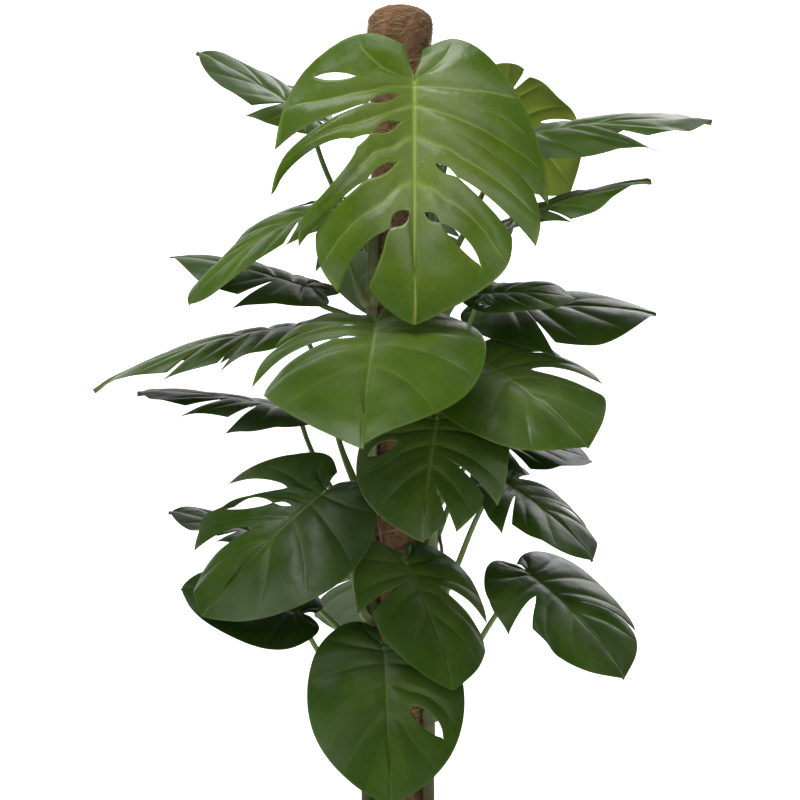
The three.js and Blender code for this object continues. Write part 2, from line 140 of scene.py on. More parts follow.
def ringQuads(rings, sides):
    # the side faces of a tube whose rings follow each other in one list of points
    i, k = np.meshgrid(np.arange(rings - 1), np.arange(sides), indexing="ij")
    beside = (k + 1) % sides
    corners = [i * sides + k, i * sides + beside, (i + 1) * sides + beside, (i + 1) * sides + k]
    return np.stack(corners, -1).reshape(-1, 4)


def closedTube(rings, sides):
    faces = ringQuads(rings, sides).tolist()
    faces.append(list(range(sides))[::-1])
    faces.append([(rings - 1) * sides + k for k in range(sides)])
    return faces


def softened(bumps, passes, wrapped=True):
    # blends each value with its four neighbours, then brings the spread back to 1
    for _ in range(passes):
        rows = np.pad(bumps, ((1, 1), (0, 0)), "wrap" if wrapped else "edge")
        bumps = (bumps + rows[:-2] + rows[2:] + np.roll(bumps, 1, 1) + np.roll(bumps, -1, 1)) / 5
    return bumps / bumps.std()


def sweep(points, radii, sides, shape=None):
    # tube round a path; shape(angles) scales the radius at each point and angle
    _, rights, ups = framesAlong(points)
    angles = np.linspace(0, 2 * math.pi, sides, endpoint=False)
    scale = np.ones((len(points), sides)) if shape is None else shape(angles)
    turns = angles[None, :, None]
    ring = np.cos(turns) * rights[:, None] + np.sin(turns) * ups[:, None]
    verts = points[:, None] + ring * (radii[:, None] * scale)[..., None]
    return verts.reshape(-1, 3), closedTube(len(points), sides)


def joinParts(parts):
    verts, faces, start = [], [], 0
    for v, f in parts:
        verts.append(v)
        faces.extend([[index + start for index in face] for face in f])
        start += len(v)
    return np.concatenate(verts), faces


def curveThrough(points, count):
    # uniform Catmull-Rom through the points, with its ends held
    points = np.asarray(points, dtype=float)
    share = np.linspace(0, len(points) - 1, count)
    return splineAt(points, share)


def splineAt(points, place):
    place = np.clip(np.asarray(place, dtype=float), 0, len(points) - 1)
    i = np.minimum(place.astype(int), len(points) - 2)
    w = (place - i)[..., None]
    p0 = points[np.maximum(i - 1, 0)]
    p1, p2 = points[i], points[i + 1]
    p3 = points[np.minimum(i + 2, len(points) - 1)]
    v0, v1 = (p2 - p0) / 2, (p3 - p1) / 2
    cubic, square = 2 * p1 - 2 * p2 + v0 + v1, -3 * p1 + 3 * p2 - 2 * v0 - v1
    return cubic * w ** 3 + square * w ** 2 + v0 * w + p1


def bezier(p0, p1, p2, p3, count):
    t = np.linspace(0, 1, count)[:, None]
    return (1 - t) ** 3 * p0 + 3 * (1 - t) ** 2 * t * p1 + 3 * (1 - t) * t ** 2 * p2 + t ** 3 * p3


# ---- materials

class Nodes:
    # short calls for building a node tree

    def __init__(self, name):
        self.material = bpy.data.materials.new(name)
        self.material.use_nodes = True
        self.tree = self.material.node_tree
        self.shader = self.tree.nodes["Principled BSDF"]

    def add(self, kind, **values):
        node = self.tree.nodes.new(kind)
        for key, value in values.items():
            setattr(node, key, value)
        return node

    def feed(self, socket, source):
        # a socket takes a colour, a plain value or another node's output
        if isinstance(source, tuple):
            socket.default_value = (*source, 1)
        elif isinstance(source, (int, float)):
            socket.default_value = source
        else:
            self.tree.links.new(source, socket)

    def place(self, attribute=None):
        if attribute:
            return self.add("ShaderNodeAttribute", attribute_name=attribute).outputs["Vector"]
        return self.add("ShaderNodeTexCoord").outputs["Object"]

    def value(self, attribute):
        return self.add("ShaderNodeAttribute", attribute_name=attribute).outputs["Fac"]

    def textured(self, kind, place, output, values, **own):
        node = self.add(kind, **own)
        for key, value in values.items():
            node.inputs[key].default_value = value
        self.feed(node.inputs["Vector"], place)
        return node.outputs[output]

    def noise(self, place, scale, detail=4, roughness=0.55):
        values = {"Scale": scale, "Detail": detail, "Roughness": roughness}
        return self.textured("ShaderNodeTexNoise", place, "Fac", values)

    def cells(self, place, scale):
        return self.textured("ShaderNodeTexVoronoi", place, "Distance", {"Scale": scale},
                             feature="DISTANCE_TO_EDGE")

    def stretched(self, place, scale):
        return self.textured("ShaderNodeMapping", place, "Vector", {"Scale": scale})

    def between(self, source, low, high, toLow=0.0, toHigh=1.0):
        node = self.add("ShaderNodeMapRange")
        keys = ("Value", "From Min", "From Max", "To Min", "To Max")
        for key, value in zip(keys, (source, low, high, toLow, toHigh)):
            self.feed(node.inputs[key], value)
        return node.outputs["Result"]

    def maths(self, operation, a, b):
        node = self.add("ShaderNodeMath", operation=operation)
        for socket, source in zip(node.inputs, (a, b)):
            self.feed(socket, source)
        return node.outputs[0]

    def mix(self, share, a, b):
        # 6, 7 and output 2 are the node's colour sockets
        node = self.add("ShaderNodeMix", data_type="RGBA")
        self.feed(node.inputs["Factor"], share)
        self.feed(node.inputs[6], a)
        self.feed(node.inputs[7], b)
        return node.outputs[2]

    def bump(self, heights):
        normal = None
        for height, distance, strength in heights:
            node = self.add("ShaderNodeBump")
            self.feed(node.inputs["Distance"], distance)
            self.feed(node.inputs["Strength"], strength)
            self.feed(node.inputs["Height"], height)
            if normal is not None:
                self.feed(node.inputs["Normal"], normal)
            normal = node.outputs["Normal"]
        self.feed(self.shader.inputs["Normal"], normal)

    def finish(self, color, roughness, specular=0.5):
        for key, source in (("Base Color", color), ("Roughness", roughness),
                            ("Specular IOR Level", specular)):
            self.feed(self.shader.inputs[key], source)
        return self.material


def leafSkin(name, look):
    n = Nodes(name)
    place = n.place("leafPlace")
    cloud = n.between(n.noise(place, 14, 5), 0.35, 0.68)
    fine = n.noise(place, 160, 5, 0.65)
    color = n.mix(cloud, look["deep"], look["light"])
    color = n.mix(n.between(fine, 0.45, 0.8, 0, 0.2), color, look["speckle"])
    # painted sheen: paler and greyer beside the midrib, deeper and purer green towards the margin,
    # a gloss gradient painted into the colour
    outer = n.value("outer")
    color = n.mix(n.between(outer, 0.45, 1.0, 0, look["marginShow"]), color, look["margin"])
    color = n.mix(n.between(outer, 0.0, 0.45, look["paintedSheenShow"], 0), color, look["paintedSheen"])
    color = n.mix(n.value("tone"), color, look["shade"])
    net = n.between(n.cells(place, 150), 0.0, 0.09, 1, 0)
    color = n.mix(n.maths("MULTIPLY", net, 0.05), color, look["vein"])
    color = n.mix(n.maths("MULTIPLY", n.value("vein"), look["veinShow"]), color, look["vein"])
    color = n.mix(n.maths("MULTIPLY", n.value("rim"), look["rimShow"]), color, look["rim"])
    color = n.mix(n.value("under"), color, look["under"])
    gloss = n.between(n.noise(place, 22, 3), 0.35, 0.65, look["gloss"][0], look["gloss"][1])
    roughness = n.maths("ADD", gloss, n.maths("MULTIPLY", n.value("under"), 0.15))
    n.bump([(n.noise(place, 30, 3), 0.0034, 0.5), (net, 0.0002, 0.13), (fine, 0.0002, 0.25)])
    sheen = n.between(n.noise(place, 11, 2), 0.42, 0.66, look["sheen"][0], look["sheen"][1])
    return n.finish(color, roughness, specular=sheen)


# each look's pale colour beside the midrib is a painted sheen
leafLooks = {
    "young": {
        "deep": (0.05, 0.094, 0.006), "light": (0.1, 0.156, 0.011), "speckle": (0.12, 0.165, 0.022),
        "margin": (0.042, 0.098, 0.003), "marginShow": 0.75,
        "paintedSheen": (0.15, 0.215, 0.045), "paintedSheenShow": 0.5,
        "shade": (0.03, 0.062, 0.008), "vein": (0.3, 0.38, 0.07), "veinShow": 0.8,
        "rim": (0.22, 0.29, 0.045), "rimShow": 0.35, "under": (0.1, 0.145, 0.022),
        "gloss": (0.26, 0.4), "sheen": (0.1, 0.85),
    },
    "grown": {
        "deep": (0.04, 0.083, 0.007), "light": (0.084, 0.144, 0.014),
        "speckle": (0.085, 0.13, 0.022),
        "margin": (0.042, 0.094, 0.006), "marginShow": 0.5,
        "paintedSheen": (0.1, 0.16, 0.03), "paintedSheenShow": 0.4,
        "shade": (0.014, 0.034, 0.005), "vein": (0.16, 0.235, 0.045), "veinShow": 0.65,
        "rim": (0.15, 0.21, 0.04), "rimShow": 0.3, "under": (0.062, 0.1, 0.018),
        "gloss": (0.3, 0.46), "sheen": (0.06, 0.55),
    },
    "mature": {
        "deep": (0.026, 0.06, 0.006), "light": (0.064, 0.115, 0.014),
        "speckle": (0.066, 0.102, 0.02),
        "margin": (0.028, 0.068, 0.006), "marginShow": 0.5,
        "paintedSheen": (0.06, 0.1, 0.022), "paintedSheenShow": 0.35,
        "shade": (0.01, 0.025, 0.004), "vein": (0.1, 0.155, 0.03), "veinShow": 0.55,
        "rim": (0.1, 0.15, 0.032), "rimShow": 0.25, "under": (0.045, 0.078, 0.015),
        "gloss": (0.3, 0.48), "sheen": (0.05, 0.5),
    },
    "backlit": {
        "deep": (0.13, 0.19, 0.012), "light": (0.22, 0.29, 0.025), "speckle": (0.23, 0.28, 0.045),
        "margin": (0.15, 0.21, 0.01), "marginShow": 0.4,
        "paintedSheen": (0.2, 0.27, 0.04), "paintedSheenShow": 0.2,
        "shade": (0.05, 0.09, 0.012), "vein": (0.3, 0.38, 0.09), "veinShow": 0.6,
        "rim": (0.32, 0.38, 0.09), "rimShow": 0.4, "under": (0.19, 0.26, 0.03),
        "gloss": (0.46, 0.6), "sheen": (0.08, 0.25),
    },
}
leafSkins = {look: leafSkin("leaf_" + look, values) for look, values in leafLooks.items()}
print("leaf skins made")

# ---- stems: where they climb, and points on them

stems = {
    "stem_left": {"foot": -62, "head": -44, "top": 0.640},
    "stem_right": {"foot": 48, "head": 70, "top": 0.690},
    "stem_back": {"foot": 172, "head": 196, "top": 0.600},
}
stemBelowSoil = 0.035


def stemPoint(name, height):
    stem = stems[name]
    bearing = stem["foot"] + (stem["head"] - stem["foot"]) * height / stem["top"]
    return onBearing(bearing, stemOrbit, rimZ + height)


# ---- leaves
# Each leaf: its stem and the height of its node, where its stalk ends (bearing, reach from the
# pole's face, height above the rim), the blade's heading, pitch and roll there, its length,
# width and droop, then its other bends and its looks. Its cuts are (line, from, to, width in mm)
# on its right and left, seen from above.

lobesPerSide = 6
evenLines = [index / lobesPerSide for index in range(lobesPerSide + 1)]
usualLeaf = {
    "fold": 8, "curl": 25, "hang": 1, "look": "mature", "slot": "leaf", "tone": 0.2,
    "sweepRight": 0.08, "sweepLeft": 0.08, "breadthRight": 1, "breadthLeft": 1,
    "linesRight": evenLines, "linesLeft": evenLines,
    "right": (), "left": (),
}
leafKeys = (
    "stem", "node", "bearing", "reach", "height", "heading", "pitch", "roll", "length", "width",
    "droop",
)


def leafRow(*placing, **own):
    return {**usualLeaf, **dict(zip(leafKeys, placing)), **own}


leafTable = {
    "top_front": leafRow(
        "stem_right", 0.600, 8, 0.070, 0.742, 0, -74, 0, 0.245, 0.264, 14,
        fold=6, curl=30, sweepRight=0.02, sweepLeft=0.22, breadthLeft=0.97, look="young",
        slot="young_leaf", tone=0.0, linesRight=[0, 0.3, 0.455, 0.565, 0.66, 0.8, 1],
        linesLeft=[0, 0.2, 0.36, 0.5, 0.64, 0.76, 1],
        right=[(1, 0.45, 0.8, 8), (2, 0.3, 1, 8), (3, 0.3, 1, 36), (4, 0.4, 1, 8),
             (5, 0.35, 1, 24), (2, 0.1, 0.26, 9), (3, 0.1, 0.26, 11), (4, 0.14, 0.34, 9),
             (5, 0.08, 0.3, 14), (3, 0.4, 0.97, 22), (5, 0.42, 0.97, 9), (2, 0.5, 0.97, 4)],
        left=[(3, 0.35, 1, 4), (4, 0.35, 1, 16), (5, 0.3, 0.8, 10), (2, 0.5, 0.8, 3),
             (4, 0.16, 0.3, 7), (5, 0.12, 0.26, 8)],
    ),
    "crown_left": leafRow(
        "stem_back", 0.560, -90, 0.058, 0.712, -92, 34, -20, 0.135, 0.135, 10,
        look="grown", slot="young_leaf", tone=0.35, right=[(3, 0.3, 1, 8)], left=[(3, 0.3, 1, 8)],
    ),
    "crown_right": leafRow(
        "stem_right", 0.655, 139, 0.120, 0.746, 85, -42, -55, 0.135, 0.120, 30,
        look="backlit", slot="back_leaf", tone=0.1, right=[(2, 0.3, 1, 10), (4, 0.3, 1, 12)],
        left=[(3, 0.3, 1, 10)],
    ),
    "long_right": leafRow(
        "stem_right", 0.560, 82, 0.075, 0.690, 86, 12, 16, 0.208, 0.150, 16,
        curl=40, sweepRight=0.22, look="grown", slot="young_leaf", tone=0.45,
        right=[(4, 0.3, 1, 12)], left=[(3, 0.3, 1, 14)],
    ),
    "high_left": leafRow(
        "stem_left", 0.530, -60, 0.052, 0.620, -72, -18, -14, 0.172, 0.108, 36,
        hang=0, look="grown", slot="young_leaf", tone=0.05,
        right=[(2, 0.3, 0.8, 16), (4, 0.4, 1, 10)], left=[(3, 0.3, 1, 10)],
    ),
    "high_right": leafRow(
        "stem_right", 0.510, 65, 0.090, 0.604, 88, 24, 10, 0.145, 0.130, 16,
        look="grown", tone=0.45, right=[(3, 0.3, 1, 8)], left=[(3, 0.3, 1, 8)],
    ),
    "high_left_lower": leafRow(
        "stem_left", 0.500, -88, 0.060, 0.541, -98, 20, -15, 0.150, 0.130, 14,
        curl=40, tone=0.3, right=[(2, 0.4, 0.8, 10), (4, 0.3, 1, 8)], left=[(3, 0.3, 1, 8)],
    ),
    "right_small": leafRow(
        "stem_right", 0.440, 48, 0.074, 0.533, 84, 6, 22, 0.095, 0.096, 20,
        tone=0.55, right=[(2, 0.4, 0.8, 14)], left=[(3, 0.3, 1, 8)],
    ),
    "right_far": leafRow(
        "stem_right", 0.400, 102, 0.062, 0.525, 88, 3, 22, 0.170, 0.165, 14,
        curl=40, tone=0.3, right=[(3, 0.5, 1, 8)], left=[(3, 0.3, 1, 14)],
    ),
    "middle_front": leafRow(
        "stem_left", 0.370, -16, 0.056, 0.505, -4, -22, 3, 0.215, 0.218, 22,
        look="grown", tone=0.0, linesRight=[0, 0.15, 0.32, 0.47, 0.62, 0.8, 1],
        right=[(2, 0.35, 1, 6), (3, 0.3, 1, 26), (2, 0.14, 0.3, 3), (3, 0.12, 0.26, 6)],
    ),
    "long_left": leafRow(
        "stem_left", 0.335, -95, 0.070, 0.503, -87, -5, -8, 0.220, 0.150, 24,
        curl=40, look="grown", slot="young_leaf", tone=0.35, right=[(3, 0.3, 1, 10)],
        left=[(3, 0.3, 1, 14), (4, 0.4, 1, 14)],
    ),
    "right_big": leafRow(
        "stem_right", 0.330, 52, 0.072, 0.466, 52, -24, 22, 0.145, 0.180, 24,
        look="grown", tone=0.12, linesLeft=[0, 0.2, 0.4, 0.62, 0.75, 0.88, 1],
        left=[(2, 0.5, 1, 8), (3, 0.3, 1, 30)],
    ),
    "low_left_back": leafRow(
        "stem_left", 0.285, -114, 0.082, 0.418, -95, 14, -6, 0.170, 0.125, 16,
        curl=40, tone=0.6, right=[(3, 0.3, 1, 8)], left=[(3, 0.3, 1, 12), (4, 0.3, 1, 10)],
    ),
    "centre": leafRow(
        "stem_right", 0.280, 24, 0.060, 0.415, -12, -48, 0, 0.140, 0.150, 20,
        look="grown", tone=0.42, right=[(3, 0.4, 0.8, 14)], left=[(4, 0.3, 1, 7), (5, 0.3, 1, 7)],
    ),
    "right_low": leafRow(
        "stem_right", 0.230, 62, 0.082, 0.352, 64, -26, 8, 0.125, 0.130, 26,
        tone=0.35, right=[(3, 0.3, 1, 8)], left=[(2, 0.3, 1, 20), (4, 0.4, 1, 8)],
    ),
    "left_big": leafRow(
        "stem_left", 0.220, -40, 0.082, 0.343, -66, -36, -35, 0.172, 0.178, 22,
        tone=0.45, linesRight=[0, 0.25, 0.48, 0.58, 0.72, 0.86, 1],
        right=[(2, 0.3, 1, 38), (3, 0.3, 0.8, 14), (4, 0.35, 1, 32), (3, 0.12, 0.26, 5)],
    ),
    "left_faint": leafRow(
        "stem_left", 0.170, -111, 0.122, 0.292, -96, 19, -14, 0.100, 0.090, 12,
        tone=0.5, right=[(3, 0.3, 1, 6)], left=[(3, 0.3, 1, 6)],
    ),
    "low_centre": leafRow(
        "stem_right", 0.160, 3, 0.067, 0.276, 35, -46, 0, 0.143, 0.140, 20,
        tone=0.15, linesLeft=[0, 0.17, 0.36, 0.56, 0.7, 0.85, 1], right=[(3, 0.35, 1, 12)],
        left=[(3, 0.3, 1, 28)],
    ),
    "low_right": leafRow(
        "stem_right", 0.120, 65, 0.108, 0.262, 53, -28, 10, 0.148, 0.155, 30,
        tone=0.25, right=[(3, 0.35, 1, 22)], left=[(4, 0.6, 1, 5)],
    ),
    "left_dark": leafRow(
        "stem_left", 0.115, -58, 0.085, 0.222, -85, 18, -32, 0.120, 0.130, 16,
        tone=0.7, right=[(3, 0.3, 1, 8)],
    ),
    "lowest": leafRow(
        "stem_left", 0.075, -8, 0.084, 0.196, 6, -55, 0, 0.160, 0.150, 22,
        tone=0.2, left=[(4, 0.3, 0.8, 16)],
    ),
    "right_inner": leafRow(
        "stem_back", 0.225, 100, 0.048, 0.388, 93, 2, 18, 0.122, 0.120, 24,
        tone=0.7, right=[(3, 0.3, 1, 14)], left=[(2, 0.3, 1, 10), (4, 0.3, 1, 10)],
    ),
    "back_high": leafRow(
        "stem_back", 0.480, 184, 0.066, 0.610, 184, -15, 0, 0.170, 0.150, 40,
        tone=0.5, right=[(2, 0.3, 1, 10), (4, 0.3, 1, 12)], left=[(3, 0.3, 1, 10)],
    ),
    "back_middle": leafRow(
        "stem_back", 0.300, 165, 0.070, 0.440, 168, -10, 0, 0.180, 0.165, 40,
        tone=0.6, right=[(2, 0.3, 1, 10), (4, 0.3, 1, 12)], left=[(3, 0.3, 1, 10)],
    ),
    "back_low": leafRow(
        "stem_back", 0.120, 188, 0.090, 0.250, 186, -15, 0, 0.165, 0.150, 40,
        tone=0.7, right=[(2, 0.3, 1, 10), (4, 0.3, 1, 12)], left=[(3, 0.3, 1, 10)],
    ),
}
bladeThickness = 0.8 * mm
lobeHang, lobeCurl = 0.5, 0.4
insideLow, insideHigh = np.array(cadLow) + 0.05 * mm, np.array(cadHigh) - 0.05 * mm
marginPoints = np.array([
    (-0.12, 0.07), (-0.175, 0.3), (-0.15, 0.56), (-0.03, 0.86), (0.15, 0.99), (0.36, 1.0),
    (0.56, 0.91), (0.73, 0.73), (0.87, 0.46), (0.96, 0.17), (1.0, 0.0),
])
# the sheet's points across a lobe, closer at its vein, and from the midrib out to the margin
acrossLobe = np.array([
    0, 0.06, 0.15, 0.26, 0.36, 0.43, 0.475, 0.5, 0.525, 0.57, 0.64, 0.74, 0.85, 0.94, 1,
])
alongLobe = np.concatenate([
    [0, 0.008, 0.017, 0.028, 0.045], np.linspace(0.07, 0.94, 25), [0.965, 0.985, 1],
])


def marginAt(leaf, side, share):
    # the wide part of each half is swept towards the tip, and a half can be broader or narrower
    sideName = "Right" if side > 0 else "Left"
    p = splineAt(marginPoints, np.asarray(share) * (len(marginPoints) - 1))
    along = p[..., 0] + leaf["sweep" + sideName] * p[..., 1] ** 2 * (1 - np.maximum(p[..., 0], 0))
    across = p[..., 1] * leaf["breadth" + sideName] / 2
    return np.stack([along * leaf["length"], across * leaf["width"]], -1)


def cutWidth(cuts, line, s):
    width = np.zeros_like(s)
    for index, low, high, wide in cuts:
        if index != line:
            continue
        open_ = np.clip((s - low) / (min(high, 1.0) - low), 0, 1)
        if high >= 1:
            shape = np.sqrt(open_) * (0.72 + 0.28 * open_)
        else:
            shape = np.maximum(np.sin(math.pi * open_), 0) ** 0.62
        width = width + shape * wide * mm / 2
    return width


def lobeLine(leaf, index, side):
    lines = leaf["linesRight" if side > 0 else "linesLeft"]
    even = lines is evenLines and 0 < index < lobesPerSide
    share = lines[index] + (0.014 * math.sin(5 * index + leaf["seed"]) if even else 0)
    start = np.array([leaf["length"] * 0.8 * evenLines[index] ** 2.2, 0])
    end = marginAt(leaf, side, share)
    bend = start + (end - start) * np.array([0.35, 0.62])
    return start, bend, end, share


def alongLine(line, s):
    start, bend, end, _ = line
    s = s[..., None]
    point = (1 - s) ** 2 * start + 2 * (1 - s) * s * bend + s ** 2 * end
    tangent = unit(2 * (1 - s) * (bend - start) + 2 * s * (end - bend))
    return point, tangent


def flatLobe(leaf, cuts, index, side):
    low, high = lobeLine(leaf, index, side), lobeLine(leaf, index + 1, side)
    splits = [any(c[0] == i and c[2] >= 1 for c in cuts) for i in (index, index + 1)]
    t = acrossLobe[:, None]
    short = 0.12 * (1 - t) ** 3 * splits[0] - 0.03 * t ** 3 * splits[1]
    s = alongLobe[None, :] * (1 - short * alongLobe[None, :] ** 6)
    edges = []
    for line, at, sign in ((low, index, 1), (high, index + 1, -1)):
        point, tangent = alongLine(line, s)
        across = np.stack([tangent[..., 1], -tangent[..., 0]], -1)
        edges.append(point + across * (sign * cutWidth(cuts, at, s))[..., None])
    share = low[3] * (1 - t) + high[3] * t
    chord = low[2] * (1 - t[..., None]) + high[2] * t[..., None]
    bulge = (marginAt(leaf, side, share) - chord) * (s ** 3)[..., None]
    flat = edges[0] * (1 - t[..., None]) + edges[1] * t[..., None] + bulge
    # free lobes lift or sink a little on their own
    start = max([c[1] for c in cuts if c[0] in (index, index + 1) and c[2] >= 1], default=0)
    free = (1 if splits[0] else smooth(t * 1.6)) * (1 if splits[1] else smooth((1 - t) * 1.6))
    free = free * any(splits)
    past = np.maximum(s - start, 0)
    lift = math.sin(7.1 * index + 3 * leaf["seed"] + side) * free * past ** 2
    lift = lift - leaf["hang"] * free * (lobeHang * past * (2 * t - 1) ** 2 + lobeCurl * past ** 3)
    place = np.broadcast_to(index + t, s.shape)
    return flat, s, np.broadcast_to(t, s.shape), place, lift


def bentSheet(leaf, side, flat, s, place, lift):
    # arcs the midrib down, folds the sides up and curls them down again
    length, width = leaf["length"], leaf["width"]
    along, across = flat[..., 0], flat[..., 1]
    steps = 8
    droop = math.radians(leaf["droop"])

    def pitchAt(u):
        return -droop * np.maximum(u / length, -0.3)

    x = sum(np.cos(pitchAt((i + 0.5) / steps * along)) for i in range(steps)) * along / steps
    z = sum(np.sin(pitchAt((i + 0.5) / steps * along)) for i in range(steps)) * along / steps
    pitch = pitchAt(along)

    def rise(q):
        return np.radians(leaf["fold"] - leaf["curl"] * q / (width / 2))

    out = sum(np.cos(rise((i + 0.5) / steps * across)) for i in range(steps)) * across / steps
    up = sum(np.sin(rise((i + 0.5) / steps * across)) for i in range(steps)) * across / steps
    up = up + 0.018 * length * s ** 2 * np.sin(2.3 * place + leaf["seed"] + side)
    up = up + 0.09 * length * lift
    return np.stack([x - np.sin(pitch) * up, side * out, z + np.cos(pitch) * up], -1)


def bladeBase(leaf):
    return onBearing(leaf["bearing"], poleRadius + leaf["reach"], rimZ + leaf["height"])


def bladeAxes(leaf):
    heading, pitch, roll = (math.radians(leaf[key]) for key in ("heading", "pitch", "roll"))
    level = np.array([math.sin(heading), -math.cos(heading), 0])
    up = np.array([0, 0, 1.0])
    along = level * math.cos(pitch) + up * math.sin(pitch)
    normal = -level * math.sin(pitch) + up * math.cos(pitch)
    right = np.cross(along, normal)
    rolledRight = right * math.cos(roll) - normal * math.sin(roll)
    rolledNormal = normal * math.cos(roll) + right * math.sin(roll)
    return np.array([along, rolledRight, rolledNormal])


def makeBlade(name, leaf):
    points, faces, extras, known = [], [], [], {}
    for side, cuts in ((1, leaf["right"]), (-1, leaf["left"])):
        for index in range(lobesPerSide):
            flat, s, t, place, lift = flatLobe(leaf, cuts, index, side)
            bent = bentSheet(leaf, side, flat, s, place, lift)
            keys = np.round(np.stack([flat[..., 0], side * flat[..., 1]], -1) * 1e6).astype(int)
            grid = np.empty(s.shape, dtype=int)
            for i in range(s.shape[0]):
                for k in range(s.shape[1]):
                    key = (keys[i, k, 0], keys[i, k, 1])
                    if key not in known:
                        known[key] = len(points)
                        points.append(bent[i, k])
                        u, v = flat[i, k]
                        extras.append((u, side * v, s[i, k], t[i, k], index))
                    grid[i, k] = known[key]
            quads = np.stack([grid[:-1, :-1], grid[1:, :-1], grid[1:, 1:], grid[:-1, 1:]], -1)
            quads = quads.reshape(-1, 4)
            faces.append(quads[:, ::-1] if side > 0 else quads)
    points, extras = np.array(points), np.array(extras)
    faces = np.concatenate(faces)
    faces = faces[[len(set(f)) == 4 for f in faces.tolist()]]
    world = bladeBase(leaf) + points @ bladeAxes(leaf)
    normals = np.zeros_like(world)
    a, b, c, d = world[faces].transpose(1, 0, 2)
    cross = np.cross(c - a, d - b)
    for corner in range(4):
        np.add.at(normals, faces[:, corner], cross)
    normals = unit(normals)

    # relief: sunken veins above, ridges below, thin at the margin
    u, v, s, t, lobe = extras.T
    share = np.clip(u / leaf["length"], 0, 1)
    ribWidth = (2.3 - 1.6 * share) * mm
    rib = np.exp(-(v / ribWidth) ** 2)
    reach = np.clip(1 - s, 0, 1)
    lobeWide = leaf["width"] * 0.22 * (0.35 + s)
    veinWidth = (1.5 * reach + 0.35) * mm / lobeWide
    outer = (lobe < lobesPerSide - 1) + 0.0
    vein = np.exp(-((t - 0.5) / veinWidth) ** 2) * outer * smooth(reach * 6)
    wideVein = np.exp(-((t - 0.5) / 0.16) ** 2) * outer
    puff = leaf["length"] * 0.011 * (1 - wideVein) * smooth(s * 5) * smooth(reach * 3)
    relief = puff - 0.5 * mm * vein - 0.9 * mm * rib
    edge = smooth((1 - s) * 14)
    half = bladeThickness / 2 * (0.35 + 0.65 * edge)
    ridge = 1.9 * mm * rib * (1.05 - share) + 0.7 * mm * vein * reach
    upper = world + normals * (relief + half)[:, None]
    lower = world + normals * (relief - half - ridge)[:, None]
    upper, lower = (np.clip(face, insideLow, insideHigh) for face in (upper, lower))
    count = len(world)
    borders = {}
    for face in faces.tolist():
        for a, b in zip(face, face[1:] + face[:1]):
            if (b, a) in borders:
                del borders[(b, a)]
            else:
                borders[(a, b)] = True
    walls = [[b, a, a + count, b + count] for a, b in borders]
    allFaces = faces.tolist() + (faces[:, ::-1] + count).tolist() + walls
    onEdge = np.zeros(count)
    for a, b in borders:
        onEdge[a] = onEdge[b] = 1
    rim = np.maximum(np.clip((s - 0.965) / 0.035, 0, 1) * (u > -1), 0.8 * onEdge)
    both = {
        "vein": np.maximum(rib, 0.42 * vein), "rim": rim, "outer": s,
        "tone": np.full(count, leaf["tone"]) + 0.12 * np.sin(3 * lobe + leaf["seed"]),
    }
    attributes = {key: np.tile(values, 2) for key, values in both.items()}
    attributes["under"] = np.repeat([0.0, 1.0], count)
    spot = np.stack([u + 0.4 * leaf["seed"], v, np.full(count, 0.1 * leaf["seed"])], -1)
    attributes["leafPlace"] = np.tile(spot, (2, 1))
    return addPiece(name + "_leaf", np.concatenate([upper, lower]), allFaces,
                    leafSkins[leaf["look"]], [name + "_blade"], attributes)


# ---- stalks

stalkLook = {
    "sides": 18, "steps": 44, "sheathShare": 0.34, "sheathWidth": 0.55, "grooveDepth": 0.28,
    "baseSwell": 0.75, "baseLength": 14 * mm,
    "kneeSwell": 0.22, "kneeFromTop": 9 * mm, "kneeLength": 7 * mm, "kneeRings": 3200,
}
stalkGap, bladeGap = 1.85 * mm, 0.75 * mm


def stalkSkin():
    n = Nodes("stalk_green")
    place = n.place()
    streaks = n.noise(n.stretched(n.place("leafPlace"), (600, 600, 18)), 1, 4)
    color = n.mix(n.between(streaks, 0.35, 0.7), (0.07, 0.13, 0.02), (0.17, 0.26, 0.06))
    color = n.mix(n.between(n.noise(place, 60, 4), 0.55, 0.75, 0, 0.35), color, (0.2, 0.2, 0.08))
    color = n.mix(n.maths("MULTIPLY", n.value("tone"), 0.7), color, (0.12, 0.085, 0.035))
    n.bump([(streaks, 0.0004, 0.5), (n.noise(place, 700, 3), 0.0002, 0.4)])
    return n.finish(color, n.between(streaks, 0.3, 0.7, 0.38, 0.55), specular=0.5)


